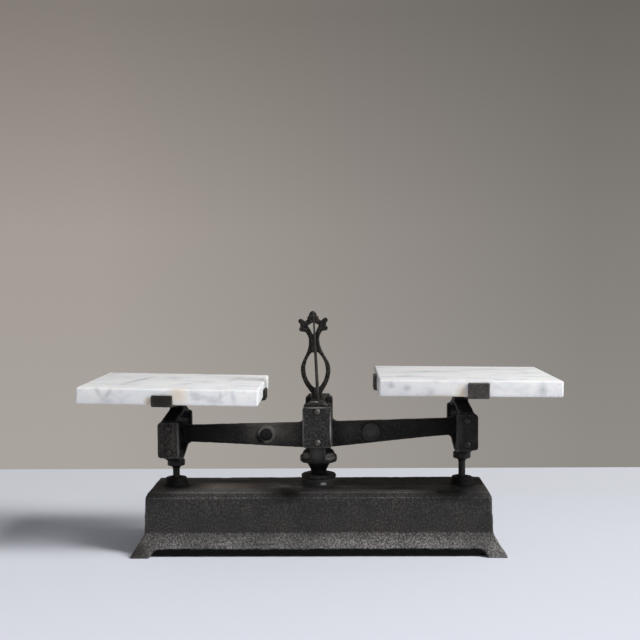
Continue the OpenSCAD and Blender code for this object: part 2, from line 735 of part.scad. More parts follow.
// Stems, with the forks that reach the stay
module stem_profile() {
    low = -stem_drop - carriage_low + stem_end;
    polygon(concat(
        [[0, strap_t + nut_h + 1], [stem_d / 2, strap_t + nut_h + 1], [stem_d / 2, 0]],
        arc([stem_collar_d / 2 - 1, -1], 1, 1, 90, 0),
        arc([stem_collar_d / 2 - 1, -stem_collar_t + 1], 1, 1, 0, -90),
        arc([stem_collar_d / 2 - 2, -stem_collar_t - stem_flare_h], stem_collar_d / 2 - 2 - stem_d / 2,
            stem_flare_h, 90, 180),
        [[stem_d / 2, low], [0, low]]));
}
module stem(side) color(steel) on_carriage(side) translate([0, 0, carriage_low])
    rotate_extrude() stem_profile();
module stem_nut(side) color(steel) on_carriage(side) translate([0, 0, carriage_low + strap_t]) difference() {
    hex_block(nut_d, nut_h);
    translate([0, 0, -over]) cylinder(d = stem_d + 2 * seat_gap, h = nut_h + 2 * over);
}
module stem_fork(side) color(iron) on_stem_end(side) difference() {
    translate([-fork_block_w / 2, -fork_block_d / 2, fork_block_low])
        cube([fork_block_w, fork_block_d, fork_block_top - fork_block_low]);
    translate([-fork_block_w, -stay_t / 2 - free_gap, fork_block_low - over])
        cube([2 * fork_block_w, stay_t + 2 * free_gap, fork_slot_top - fork_block_low + over]);
    rod_y(fork_pin_d + 2 * run_gap, fork_block_d + 2 * over);
    translate([0, 0, stem_end - seat_gap]) cylinder(d = stem_d + 2 * seat_gap, h = fork_block_top);
}
module headed_pin(d, l) {
    rod_y(d, l);
    translate([0, -l / 2 - pin_head_h / 2, 0]) rod_y(d + 3, pin_head_h);
}
module fork_pin(side) color(steel) on_stem_end(side) headed_pin(fork_pin_d, fork_block_d);

// Stay, its bracket and its pin
module stay_bar() color(iron) on_stay() difference() {
    union() {
        cube([2 * arm, stay_t, stay_h], center = true);
        for (side = [-1, 1]) translate([side * arm, 0, 0]) rod_y(eye_d, stay_t);
        rod_y(eye_d, 2 * (bracket_in - free_gap));
    }
    rod_y(stay_pin_d + 2 * run_gap, 2 * bracket_in);
    for (side = [-1, 1]) translate([side * arm, 0, 0]) rod_y(fork_pin_d + 2 * free_gap, stay_t + 2 * over);
}
module stay_bracket() color(iron) difference() {
    union() {
        translate([-bracket_plate_w / 2, -bracket_in - bracket_t, ceiling_z - bracket_t])
            cube([bracket_plate_w, 2 * (bracket_in + bracket_t), bracket_t]);
        front_and_back() translate([-bracket_w / 2, -bracket_in - bracket_t, stay_z - eye_d / 2])
            cube([bracket_w, bracket_t, ceiling_z - stay_z + eye_d / 2 - bracket_t / 2]);
    }
    translate([0, 0, ceiling_z - bracket_t - over])
        cylinder(d = bolt_d + 2 * seat_gap, h = bracket_t + 2 * over);
    translate([0, 0, stay_z]) rod_y(stay_pin_d + 2 * run_gap, 2 * (bracket_in + bracket_t + over));
}
module stay_pivot_pin() color(steel) translate([0, 0, stay_z])
    headed_pin(stay_pin_d, 2 * (bracket_in + bracket_t));

// Crosses that carry the plates
module cross_arm(reach, tab_h) {
    polygon([[0, 0], [reach + free_gap, 0], [reach + free_gap, tab_h], [reach + free_gap + tab_t, tab_h],
        [reach + free_gap + tab_t, -cross_tip_t / 2], [reach + free_gap + tab_t / 2, -cross_tip_t],
        [cross_hub_d / 2 - 2, -cross_hub_t], [0, -cross_hub_t]]);
}
module plate_cross(side, lean, tab_h, plate_shift, arm_shift) color(iron) on_seat(side, lean) difference() {
    union() {
        along_y(cross_w) cross_arm(plate_w / 2 + plate_shift, tab_h);
        mirror([1, 0, 0]) along_y(cross_w) cross_arm(plate_w / 2 - plate_shift, tab_h);
        along_x(cross_w) cross_arm(plate_d / 2, tab_h);
        translate([arm_shift, 0, 0]) mirror([0, 1, 0]) along_x(cross_w) cross_arm(plate_d / 2, tab_h);
        translate([0, 0, -cross_hub_t]) cylinder(d = cross_hub_d, h = cross_hub_t);
    }
    translate([0, 0, -cross_sunk]) sunk_screw(cross_screw_d, cross_screw_l, seat_gap, cross_sunk + over);
}
module cross_screw(side, lean) color(steel) on_seat(side, lean) translate([0, 0, -cross_sunk])
    flush_screw(cross_screw_d, cross_screw_l);

// Marble plates
module marble_plate(side, lean, shift) color(marble) on_seat(side, lean)
    translate([shift, 0, plate_t / 2 + run_gap]) intersection() {
    linear_extrude(plate_t, center = true) polygon(round_box(plate_w, plate_d, plate_edge));
    along_y(plate_d) polygon(round_box(plate_w, plate_t, plate_edge));
    along_x(plate_w) polygon(round_box(plate_d, plate_t, plate_edge));
}

base_casting();
fork_column();
column_bolt();
column_washer();
fork_bearings();
front_fork_cover();
rear_fork_cover();
fork_cover_screws();
index_frame();
index_screws();
stay_bracket();
stay_pivot_pin();
stay_bar();
beam();
middle_knife();
end_knife(-1);  // left_end_knife
end_knife(1);  // right_end_knife
needle();
carriage_frame(-1, left_lean);  // left_carriage_frame
carriage_frame(1, right_lean);  // right_carriage_frame
carriage_bearings(-1);  // left_carriage_bearings
carriage_bearings(1);  // right_carriage_bearings
carriage_cover(-1, 0);  // left_front_cover
carriage_cover(1, 0);  // right_front_cover
carriage_cover(-1, 1);  // left_rear_cover
carriage_cover(1, 1);  // right_rear_cover
carriage_cover_screws(-1);  // left_cover_screws
carriage_cover_screws(1);  // right_cover_screws
stem(-1);  // left_stem
stem(1);  // right_stem
stem_nut(-1);  // left_stem_nut
stem_nut(1);  // right_stem_nut
stem_fork(-1);  // left_stem_fork
stem_fork(1);  // right_stem_fork
fork_pin(-1);  // left_fork_pin
fork_pin(1);  // right_fork_pin
plate_cross(-1, left_lean, left_tab_h, left_plate_shift, left_arm_shift);  // left_plate_cross
plate_cross(1, right_lean, right_tab_h, right_plate_shift, right_arm_shift);  // right_plate_cross
cross_screw(-1, left_lean);  // left_cross_screw
cross_screw(1, right_lean);  // right_cross_screw
marble_plate(-1, left_lean, left_plate_shift);  // left_marble_plate
marble_plate(1, right_lean, right_plate_shift);  // right_marble_plate
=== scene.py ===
# Counter balance with two marble plates: sand-cast iron, turned steel and polished marble on a pale table
import json
import math
import bpy
from mathutils import Matrix, Vector


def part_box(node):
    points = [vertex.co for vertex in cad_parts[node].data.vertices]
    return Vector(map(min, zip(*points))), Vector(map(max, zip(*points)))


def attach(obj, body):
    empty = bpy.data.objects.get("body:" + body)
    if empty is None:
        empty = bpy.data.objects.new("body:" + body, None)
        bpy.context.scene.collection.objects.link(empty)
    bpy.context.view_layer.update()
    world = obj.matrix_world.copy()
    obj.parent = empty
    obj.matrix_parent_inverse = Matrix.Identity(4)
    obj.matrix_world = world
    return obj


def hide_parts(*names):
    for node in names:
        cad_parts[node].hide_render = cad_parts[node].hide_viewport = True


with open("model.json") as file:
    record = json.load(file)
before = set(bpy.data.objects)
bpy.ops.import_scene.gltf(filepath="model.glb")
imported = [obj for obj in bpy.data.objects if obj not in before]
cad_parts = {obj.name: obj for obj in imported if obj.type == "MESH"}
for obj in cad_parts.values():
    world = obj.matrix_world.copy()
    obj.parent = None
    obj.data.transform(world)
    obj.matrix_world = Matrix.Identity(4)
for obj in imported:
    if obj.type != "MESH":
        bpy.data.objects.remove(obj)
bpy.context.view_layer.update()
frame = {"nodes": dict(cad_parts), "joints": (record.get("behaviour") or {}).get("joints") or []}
nodes = frame["nodes"]
bpy.ops.object.select_all(action='DESELECT')
print('frame loaded:', len(nodes), 'nodes')


def toLinear(hexColour):
    parts = [int(hexColour[i:i + 2], 16) / 255 for i in (1, 3, 5)]
    return [c / 12.92 if c <= 0.04045 else ((c + 0.055) / 1.055) ** 2.4 for c in parts] + [1]


# Camera at the photograph's viewpoint
photoCamera = {
    'place': (0.0261, -1.1915, 0.3208),
    'yaw': 1.12,  # degrees
    'pitch': -2.73,
    'roll': 0.42,
    'lens': 57.6,  # millimetres
    'sensor': 36,  # millimetres, its width
}


def makeCamera(look):
    bpy.ops.object.camera_add(location=look['place'])
    camera = bpy.context.object
    turn = (Matrix.Rotation(math.radians(look['yaw']), 3, 'Z')
            @ Matrix.Rotation(math.radians(look['pitch']), 3, 'X')
            @ Matrix.Rotation(math.radians(look['roll']), 3, 'Y')
            @ Matrix.Rotation(math.radians(90), 3, 'X'))
    camera.rotation_euler = turn.to_euler()
    camera.data.lens = look['lens']
    camera.data.sensor_width = look['sensor']
    bpy.context.scene.camera = camera


makeCamera(photoCamera)


# One node, its settings and what feeds it
def addNode(tree, kind, inputs=None, **settings):
    node = tree.nodes.new(kind)
    for name, value in settings.items():
        setattr(node, name, value)
    for name, value in (inputs or {}).items():
        if isinstance(value, bpy.types.NodeSocket):
            tree.links.new(value, node.inputs[name])
        else:
            node.inputs[name].default_value = value
    return node


def newMaterial(name, **numbers):
    material = bpy.data.materials.new(name)
    material.use_nodes = True
    shader = material.node_tree.nodes['Principled BSDF']
    for socket, value in numbers.items():
        shader.inputs[socket.replace('_', ' ')].default_value = value
    return material, material.node_tree, shader


# Table, background and lamps
stageLook = {
    'tableLow': (-1.8, -1.6),  # metres
    'tableHigh': (1.8, 0.463),
    'tableThickness': 0.03,
    'tableNear': '#e3e5ee',
    'tableFar': '#d6d8de',
    'tableFade': (-0.35, 0.3),  # from here to there the near colour turns into the far one, a painted shade darkening the table towards the back
    'tableRoughness': 0.75,
    'wall': {  # the wall's colour, with its light and shade painted in, at the left and at the right, by how steeply the view rises to it
        -0.165: ('#aaa49e', '#8f8b86'),
        0.04: ('#a59d97', '#827e7a'),
        0.24: ('#857e78', '#6b6863'),
    },
    'wallWidth': 0.23,
    'skyLight': 0.21,
    'skyColour': '#f6f7ff',
    'lampAim': (0, 0, 0.12),  # the middle of the balance
    # a tall window at the right, and the room in front
    'key': {'place': (6.0, -2.5, 5.7), 'width': 2.4, 'height': 5.2, 'power': 890},
    'fill': {'place': (-0.2, -4.0, 0.75), 'width': 2.4, 'height': 1.0, 'power': 10},
}


def makeTable(look):
    low, high = look['tableLow'], look['tableHigh']
    middle = ((low[0] + high[0]) / 2, (low[1] + high[1]) / 2, -look['tableThickness'] / 2)
    bpy.ops.mesh.primitive_cube_add(size=1, location=middle)
    table = bpy.context.object
    table.name = 'table'
    table.scale = (high[0] - low[0], high[1] - low[1], look['tableThickness'])
    bpy.ops.object.transform_apply(location=True, rotation=True, scale=True)
    material, tree, shader = newMaterial('paleTable', Roughness=look['tableRoughness'])
    place = addNode(tree, 'ShaderNodeTexCoord').outputs['Object']
    depth = addNode(tree, 'ShaderNodeSeparateXYZ', {0: place}).outputs['Y']
    near, far = look['tableFade']
    away = addNode(tree, 'ShaderNodeMapRange', {
        'Value': depth, 'From Min': near, 'From Max': far}).outputs[0]
    colour = addNode(tree, 'ShaderNodeMixRGB', {
        'Fac': away, 'Color1': toLinear(look['tableNear']), 'Color2': toLinear(look['tableFar'])})
    tree.links.new(colour.outputs['Color'], shader.inputs['Base Color'])
    table.data.materials.append(material)


def makeWorld(look):
    world = bpy.data.worlds.new('studio')
    world.use_nodes = True
    bpy.context.scene.world = world
    tree = world.node_tree
    tree.nodes.clear()
    ray = addNode(tree, 'ShaderNodeLightPath')
    seen = addNode(tree, 'ShaderNodeMath', {
        0: ray.outputs['Is Camera Ray'], 1: ray.outputs['Is Glossy Ray']}, operation='MAXIMUM')
    seen = addNode(tree, 'ShaderNodeMath', {
        0: seen.outputs[0], 1: ray.outputs['Is Transmission Ray']}, operation='MAXIMUM')
    way = addNode(tree, 'ShaderNodeTexCoord').outputs['Generated']
    way = addNode(tree, 'ShaderNodeSeparateXYZ', {0: way})
    aside = addNode(tree, 'ShaderNodeMapRange', {
        'Value': way.outputs['X'],
        'From Min': -look['wallWidth'], 'From Max': look['wallWidth']}).outputs[0]
    wall, last = None, None
    for height, (left, right) in look['wall'].items():
        row = addNode(tree, 'ShaderNodeMixRGB', {
            'Fac': aside, 'Color1': toLinear(left), 'Color2': toLinear(right)}).outputs[0]
        if wall:
            rise = addNode(tree, 'ShaderNodeMapRange', {
                'Value': way.outputs['Z'], 'From Min': last, 'From Max': height}).outputs[0]
            row = addNode(tree, 'ShaderNodeMixRGB', {
                'Fac': rise, 'Color1': wall, 'Color2': row}).outputs[0]
        wall, last = row, height
    wallLight = addNode(tree, 'ShaderNodeBackground', {'Color': wall, 'Strength': 1})
    sky = addNode(tree, 'ShaderNodeBackground', {
        'Color': toLinear(look['skyColour']), 'Strength': look['skyLight']})
    both = addNode(tree, 'ShaderNodeMixShader', {
        0: seen.outputs[0], 1: sky.outputs[0], 2: wallLight.outputs[0]})
    addNode(tree, 'ShaderNodeOutputWorld', {'Surface': both.outputs[0]})


def makeLamp(name, look, aim):
    bpy.ops.object.light_add(type='AREA', location=look['place'])
    lamp = bpy.context.object
    lamp.name = name
    lamp.rotation_euler = (Vector(aim) - Vector(look['place'])).to_track_quat('-Z', 'Y').to_euler()
    lamp.data.shape = 'RECTANGLE'
    lamp.data.size = look['width']
    lamp.data.size_y = look['height']
    lamp.data.energy = look['power']


makeTable(stageLook)
makeWorld(stageLook)
for lampName in ('key', 'fill'):
    makeLamp(lampName, stageLook[lampName], stageLook['lampAim'])
bpy.context.scene.view_settings.view_transform = 'Standard'
print('stage ready')


# Soft patches of another colour on a surface, each at its place with its half sizes, ragged by a noise
def addSpots(tree, place, colour, ragged, spots):
    for spot in spots:
        near = addNode(tree, 'ShaderNodeMapping', {
            'Vector': place, 'Location': spot['place'], 'Rotation': spot.get('turn', (0, 0, 0)),
            'Scale': spot['size']}, vector_type='TEXTURE').outputs[0]
        ball = addNode(tree, 'ShaderNodeTexGradient', {'Vector': near}, gradient_type='SPHERICAL')
        part = addNode(tree, 'ShaderNodeMath', {
            0: ball.outputs['Fac'], 1: ragged}, operation='MULTIPLY').outputs[0]
        part = addNode(tree, 'ShaderNodeMath', {
            0: part, 1: spot['strength']}, operation='MULTIPLY', use_clamp=True).outputs[0]
        colour = addNode(tree, 'ShaderNodeMixRGB', {
            'Fac': part, 'Color1': colour, 'Color2': toLinear(spot['colour'])}).outputs[0]
    return colour


# 1 inside a box about the origin with these half sizes, 0 outside it
def insideBox(tree, place, half, soft):
    inside = None
    sides = addNode(tree, 'ShaderNodeSeparateXYZ', {0: place})
    for axis, reach in zip('XYZ', half):
        away = addNode(tree, 'ShaderNodeMath', {0: sides.outputs[axis]}, operation='ABSOLUTE').outputs[0]
        near = addNode(tree, 'ShaderNodeMapRange', {
            'Value': away, 'From Min': reach - soft, 'From Max': reach + soft,
            'To Min': 1, 'To Max': 0}).outputs[0]
        inside = near if inside is None else addNode(
            tree, 'ShaderNodeMath', {0: inside, 1: near}, operation='MULTIPLY').outputs[0]
    return inside


# Grey cast iron from a sand mould, blackened: a dull, near-black skin with the sand's grain on it,
# rubbed to paler metal where it stands out and browned by old rust in patches
# Its listed bands, patches and recess can also paint sheen, highlights, shadow and shade into the colour
def castIron(name, look):
    material, tree, shader = newMaterial(
        name, Metallic=look['metallic'], Specular_IOR_Level=look['specular'])
    place = addNode(tree, 'ShaderNodeTexCoord').outputs['Object']
    drawn = addNode(tree, 'ShaderNodeMapping', {'Vector': place, 'Scale': look['stretch']}).outputs[0]
    sand = addNode(tree, 'ShaderNodeTexNoise', {
        'Vector': drawn, 'Scale': 1 / look['grain'], 'Detail': 3, 'Roughness': 0.6}).outputs['Fac']
    patches = addNode(tree, 'ShaderNodeTexNoise', {
        'Vector': place, 'Scale': 1 / look['patch'], 'Detail': 4, 'Roughness': 0.6}).outputs['Fac']
    peaks = addNode(tree, 'ShaderNodeMapRange', {
        'Value': sand, 'From Min': look['peaks'][0], 'From Max': look['peaks'][1]}).outputs[0]
    shape = addNode(tree, 'ShaderNodeNewGeometry').outputs['Pointiness']
    edges = addNode(tree, 'ShaderNodeMapRange', {
        'Value': shape, 'From Min': look['edgeFrom'], 'From Max': look['edgeTo']}).outputs[0]
    worn = addNode(tree, 'ShaderNodeMath', {
        0: edges, 1: look['edgeWear']}, operation='MULTIPLY').outputs[0]
    rubbedAndSheen = addNode(tree, 'ShaderNodeMath', {
        0: peaks, 1: look['peakWear']}, operation='MULTIPLY').outputs[0]
    paler = addNode(tree, 'ShaderNodeMapRange', {
        'Value': sand, 'From Min': look['softPeaks'][0], 'From Max': look['softPeaks'][1],
        'To Min': look['softLeast']}).outputs[0]
    height = addNode(tree, 'ShaderNodeSeparateXYZ', {0: place}).outputs['Z']
    # each band adds paler grain, both rubbed wear and painted sheen
    for low, high, soft, gain in look['bands']:
        above = addNode(tree, 'ShaderNodeMapRange', {
            'Value': height, 'From Min': low - soft, 'From Max': low + soft}).outputs[0]
        below = addNode(tree, 'ShaderNodeMapRange', {
            'Value': height, 'From Min': high - soft, 'From Max': high + soft,
            'To Min': 1, 'To Max': 0}).outputs[0]
        band = addNode(tree, 'ShaderNodeMath', {0: above, 1: below}, operation='MULTIPLY').outputs[0]
        strong = addNode(tree, 'ShaderNodeMath', {0: band, 1: gain}, operation='MULTIPLY').outputs[0]
        more = addNode(tree, 'ShaderNodeMath', {0: strong, 1: paler}, operation='MULTIPLY').outputs[0]
        rubbedAndSheen = addNode(tree, 'ShaderNodeMath', {0: rubbedAndSheen, 1: more}, operation='ADD').outputs[0]
    uneven = addNode(tree, 'ShaderNodeMapRange', {
        'Value': patches, 'From Min': look['uneven'][0], 'From Max': look['uneven'][1],
        'To Min': look['unevenLeast'], 'To Max': 1}).outputs[0]
    # paler metal from worn edges and rubbed grain, with the bands' painted sheen
    bare = addNode(tree, 'ShaderNodeMath', {
        0: worn, 1: rubbedAndSheen}, operation='ADD', use_clamp=True).outputs[0]
    bare = addNode(tree, 'ShaderNodeMath', {0: bare, 1: uneven}, operation='MULTIPLY').outputs[0]
    skin = addNode(tree, 'ShaderNodeMixRGB', {
        'Fac': patches, 'Color1': toLinear(look['dark']), 'Color2': toLinear(look['skin'])}).outputs[0]
    rusty = addNode(tree, 'ShaderNodeMapRange', {
        'Value': patches, 'From Min': look['rusted'][0], 'From Max': look['rusted'][1],
        'To Max': look['rusting']}).outputs[0]
    browned = addNode(tree, 'ShaderNodeMixRGB', {
        'Fac': rusty, 'Color1': skin, 'Color2': toLinear(look['rust'])}).outputs[0]
    colour = addNode(tree, 'ShaderNodeMixRGB', {
        'Fac': bare, 'Color1': browned, 'Color2': toLinear(look['bare'])}).outputs[0]
    colour = addSpots(tree, place, colour, patches, look['spots'])
    # painted near-black shade over the listed recess under the skirt
    if 'recess' in look:
        recessShadeMask = insideBox(tree, place, look['recess'], look['recessSoft'])
        colour = addNode(tree, 'ShaderNodeMixRGB', {
            'Fac': recessShadeMask, 'Color1': colour, 'Color2': toLinear(look['paintedRecessShade'])}).outputs[0]
    rough = addNode(tree, 'ShaderNodeMapRange', {
        'Value': patches, 'To Min': look['gloss'][0], 'To Max': look['gloss'][1]}).outputs[0]
    bump = addNode(tree, 'ShaderNodeBump', {'Height': sand, 'Distance': look['relief'], 'Strength': 1})
    tree.links.new(colour, shader.inputs['Base Color'])
    tree.links.new(rough, shader.inputs['Roughness'])
    tree.links.new(bump.outputs[0], shader.inputs['Normal'])
    return material


# Steel, turned, drawn or ground, dulled by age: soft streaked gloss and a few dark stains
def oldSteel(name, look):
    material, tree, shader = newMaterial(name, Metallic=look['metallic'])
    place = addNode(tree, 'ShaderNodeTexCoord').outputs['Object']
    stains = addNode(tree, 'ShaderNodeTexNoise', {
        'Vector': place, 'Scale': 1 / look['stain'], 'Detail': 4, 'Roughness': 0.65}).outputs['Fac']
    drawn = addNode(tree, 'ShaderNodeMapping', {'Vector': place, 'Scale': look['stretch']}).outputs[0]
    scratches = addNode(tree, 'ShaderNodeTexNoise', {
        'Vector': drawn, 'Scale': 1 / look['scratch'], 'Detail': 2}).outputs['Fac']
    amount = addNode(tree, 'ShaderNodeMapRange', {
        'Value': stains, 'From Min': look['stained'][0], 'From Max': look['stained'][1]}).outputs[0]
    colour = addNode(tree, 'ShaderNodeMixRGB', {
        'Fac': amount, 'Color1': toLinear(look['bright']), 'Color2': toLinear(look['dark'])}).outputs[0]
    rough = addNode(tree, 'ShaderNodeMapRange', {
        'Value': scratches, 'To Min': look['gloss'][0], 'To Max': look['gloss'][1]}).outputs[0]
    bump = addNode(tree, 'ShaderNodeBump', {'Height': scratches, 'Distance': look['relief'], 'Strength': 1})
    tree.links.new(colour, shader.inputs['Base Color'])
    tree.links.new(rough, shader.inputs['Roughness'])
    tree.links.new(bump.outputs[0], shader.inputs['Normal'])
    return material


# Carrara-like marble, sawn and polished: clouded white with faint grey veins that run aslant
def polishedMarble(name, look):
    material, tree, shader = newMaterial(
        name, IOR=look['ior'], Specular_IOR_Level=look['specular'],
        Subsurface_Weight=look['glow'], Subsurface_Scale=look['glowDepth'])
    place = addNode(tree, 'ShaderNodeTexCoord').outputs['Object']
    turned = addNode(tree, 'ShaderNodeMapping', {
        'Vector': place, 'Location': look['shift'], 'Rotation': look['turn'],
        'Scale': look['stretch']}).outputs[0]
    wander = addNode(tree, 'ShaderNodeTexNoise', {
        'Vector': turned, 'Scale': 1 / look['cloud'], 'Detail': 5, 'Roughness': 0.6})
    clouds = addNode(tree, 'ShaderNodeMapRange', {
        'Value': wander.outputs['Fac'],
        'From Min': look['clouded'][0], 'From Max': look['clouded'][1]}).outputs[0]
    bent = addNode(tree, 'ShaderNodeMixRGB', {
        'Fac': look['bend'], 'Color1': turned, 'Color2': wander.outputs['Color']},
        blend_type='ADD').outputs[0]
    ridge = addNode(tree, 'ShaderNodeTexNoise', {
        'Vector': bent, 'Scale': 1 / look['vein'], 'Detail': 3, 'Roughness': 0.55}).outputs['Fac']
    middle = 0.5  # a vein runs where its noise crosses its middle value
    away = addNode(tree, 'ShaderNodeMath', {0: ridge, 1: middle}, operation='SUBTRACT').outputs[0]
    away = addNode(tree, 'ShaderNodeMath', {0: away}, operation='ABSOLUTE').outputs[0]
    vein = addNode(tree, 'ShaderNodeMapRange', {
        'Value': away, 'From Min': 0, 'From Max': look['veinWidth'],
        'To Min': 1, 'To Max': 0}).outputs[0]
    faint = addNode(tree, 'ShaderNodeMath', {0: vein, 1: clouds}, operation='MULTIPLY').outputs[0]
    body = addNode(tree, 'ShaderNodeMixRGB', {
        'Fac': clouds, 'Color1': toLinear(look['white']), 'Color2': toLinear(look['cloudy'])}).outputs[0]
    colour = addNode(tree, 'ShaderNodeMixRGB', {
        'Fac': faint, 'Color1': body, 'Color2': toLinear(look['grey'])}).outputs[0]
    colour = addSpots(tree, place, colour, wander.outputs['Fac'], look['spots'])
    rough = addNode(tree, 'ShaderNodeMapRange', {
        'Value': wander.outputs['Fac'],
        'To Min': look['gloss'][0], 'To Max': look['gloss'][1]}).outputs[0]
    tree.links.new(colour, shader.inputs['Base Color'])
    tree.links.new(rough, shader.inputs['Roughness'])
    return material


# Grain, patch and relief are in metres, and gloss is the least and the most roughness. The other
# pairs say between which values of the noise the wear comes in, and least is what is left below them.
ironLook = {
    'metallic': 0.2, 'specular': 0.2, 'gloss': (0.45, 0.7),
    'grain': 0.0024, 'stretch': (1, 1, 1), 'patch': 0.02, 'relief': 0.0009,
    'edgeFrom': 0.51, 'edgeTo': 0.6, 'edgeWear': 0.45,
    'peaks': (0.47, 0.68), 'peakWear': 0.22,
    'bands': [],  # lowest and highest place, soft edge and gain of each band of rubbed wear and painted sheen
    'softPeaks': (0.38, 0.66), 'softLeast': 0.06,  # the bands' softer grain
    'uneven': (0.3, 0.65), 'unevenLeast': 0.35,
    'rusted': (0.55, 0.75), 'rusting': 0.5,
    'dark': '#0d0c0b', 'skin': '#201e1c', 'rust': '#2a2019', 'bare': '#6d6a67',
    'spots': [],
}
baseLook = {
    **ironLook, 'metallic': 0.1, 'specular': 0.14,
    'grain': 0.0018, 'stretch': (1.15, 1, 0.85), 'patch': 0.05,
    'peakWear': 0.19, 'dark': '#232221', 'skin': '#393735', 'rust': '#3c2f25', 'bare': '#9d9a98',
    'bands': [  # dust and wear with painted sheen on the flare and its lower half, a trace on the shoulder, then painted highlight lines at its upper and lower edge
        (-0.01, 0.0255, 0.001, 0.4), (-0.01, 0.019, 0.003, 0.34), (0.066, 0.07, 0.0006, 0.01),
        (0.0702, 0.0713, 0.0003, 0.4), (0.0645, 0.0655, 0.0003, 0.4)],
    'recess': (0.2045, 0.0553, 0.0098), 'recessSoft': 0.0003,  # half sizes of the gap between the feet, painted near-black there as shade
    'paintedRecessShade': '#020202',
    # painted shadow of the beam along the top with a painted lit strip in front of it, a painted dark
    # reflection over the top's right half, painted shadows on the shoulder, darker patches at the left end,
    # at the front left foot and round the stem bosses, and a painted highlight on the column's foot
    'spots': [
        {'place': (-0.1, 0.02, 0.0715), 'size': (0.13, 0.014, 0.006),
         'colour': '#14110e', 'strength': 2},
        {'place': (-0.11, -0.008, 0.0715), 'size': (0.1, 0.017, 0.006),
         'colour': '#74675a', 'strength': 1.6},
        {'place': (-0.19, -0.03, 0.07), 'size': (0.035, 0.035, 0.012),
         'colour': '#0b0a09', 'strength': 2.4},
        {'place': (0.115, 0.015, 0.0715), 'size': (0.15, 0.035, 0.008),
         'colour': '#030302', 'strength': 6},
        {'place': (0.11, -0.022, 0.0715), 'size': (0.13, 0.014, 0.005),
         'colour': '#080706', 'strength': 3},
        {'place': (-0.167, -0.004, 0.0715), 'size': (0.05, 0.034, 0.007),
         'colour': '#0a0806', 'strength': 3},
        {'place': (-0.035, -0.037, 0.0695), 'size': (0.034, 0.024, 0.013),
         'colour': '#070605', 'strength': 3},
        {'place': (0.15, -0.037, 0.0695), 'size': (0.045, 0.022, 0.012),
         'colour': '#080706', 'strength': 3.4},
        {'place': (-0.205, -0.06, 0.008), 'size': (0.035, 0.025, 0.03),
         'colour': '#2b2926', 'strength': 1.7},
        {'place': (-0.167, 0, 0.077), 'size': (0.03, 0.03, 0.012),
         'colour': '#060504', 'strength': 5},
        {'place': (0.168, 0, 0.077), 'size': (0.03, 0.03, 0.012),
         'colour': '#060504', 'strength': 5},
        {'place': (0.0065, -0.0225, 0.0755), 'size': (0.0058, 0.006, 0.0022),
         'colour': '#bcb9b5', 'strength': 5},
    ],
}
columnLook = {
    **ironLook, 'peakWear': 0.3, 'edgeWear': 0.6, 'skin': '#242220',
    'spots': [  # painted shadow darkening the neck in two patches, a rubbed arm, painted highlights on the collar, and a paler patch on the front of the foot
        {'place': (0, 0, 0.091), 'size': (0.024, 0.024, 0.01),
         'colour': '#030303', 'strength': 4},
        {'place': (0, 0, 0.111), 'size': (0.03, 0.022, 0.006),
         'colour': '#040404', 'strength': 2.4},
        {'place': (0, -0.045, 0.115), 'size': (0.0085, 0.05, 0.016),
         'colour': '#4b4946', 'strength': 1.5},
        {'place': (-0.0155, -0.014, 0.1075), 'size': (0.007, 0.014, 0.004),
         'colour': '#5f5d59', 'strength': 4},
        {'place': (0.0145, -0.016, 0.1059), 'size': (0.0095, 0.014, 0.0045),
         'colour': '#7b7872', 'strength': 5},
        {'place': (0, -0.02, 0.0845), 'size': (0.02, 0.009, 0.0025),
         'colour': '#4d4b48', 'strength': 2},
    ],
}
beamLook = {
    **ironLook, 'peakWear': 0.34, 'grain': 0.0018, 'skin': '#1a1817',
    'spots': [  # near-black ends, rubbed ring and roundel
        {'place': (-0.142, 0, 0.133), 'size': (0.07, 0.1, 0.05),
         'colour': '#050404', 'strength': 3},
        {'place': (0.15, 0, 0.138), 'size': (0.08, 0.1, 0.05),
         'colour': '#060505', 'strength': 2.6},
        {'place': (-0.052, -0.0085, 0.134), 'size': (0.042, 0.02, 0.024),
         'colour': '#524f4b', 'strength': 1.9},
        {'place': (0.036, -0.0085, 0.138), 'size': (0.018, 0.02, 0.02),
         'colour': '#44413e', 'strength': 1.2},
        {'place': (-0.0604, -0.0085, 0.1314), 'size': (0.0125, 0.005, 0.0125),
         'colour': '#7d7a76', 'strength': 2},
        {'place': (-0.0674, -0.0095, 0.1264), 'size': (0.008, 0.006, 0.009),
         'colour': '#0a0908', 'strength': 3},
        {'place': (-0.0544, -0.0115, 0.1364), 'size': (0.006, 0.003, 0.006),
         'colour': '#a29f9b', 'strength': 2},
        {'place': (0.061, -0.0085, 0.1336), 'size': (0.0135, 0.004, 0.0135),
         'colour': '#575450', 'strength': 1.2},
    ],
}
lyreLook = {
    **ironLook, 'grain': 0.0013, 'relief': 0.0005, 'peakWear': 0.6,
    'dark': '#070606', 'skin': '#181614', 'bare': '#6b665f',
    'spots': [  # painted highlights on the ridge over the bridge, on its knot and on the strip down to the cover
        {'place': (-0.0045, -0.0375, 0.173), 'size': (0.0075, 0.0045, 0.003),
         'colour': '#6f6c68', 'strength': 2.6},
        {'place': (-0.001, -0.0385, 0.173), 'size': (0.003, 0.004, 0.003),
         'colour': '#a8a5a0', 'strength': 3},
        {'place': (0.005, -0.034, 0.1733), 'size': (0.0028, 0.004, 0.003),
         'colour': '#5f5c59', 'strength': 2.4},
        {'place': (0.0092, -0.047, 0.172), 'size': (0.0022, 0.009, 0.004), 'turn': (0, 0, 0.27),
         'colour': '#64615d', 'strength': 2.6},
    ],
}
coverLook = {
    **ironLook, 'grain': 0.0012, 'relief': 0.0002, 'peakWear': 0.36, 'edgeWear': 1.1, 'rusting': 0.25,
    'dark': '#151413', 'skin': '#232221', 'bare': '#8a8783', 'gloss': (0.42, 0.6), 'metallic': 0.3,
    'specular': 0.22,
}
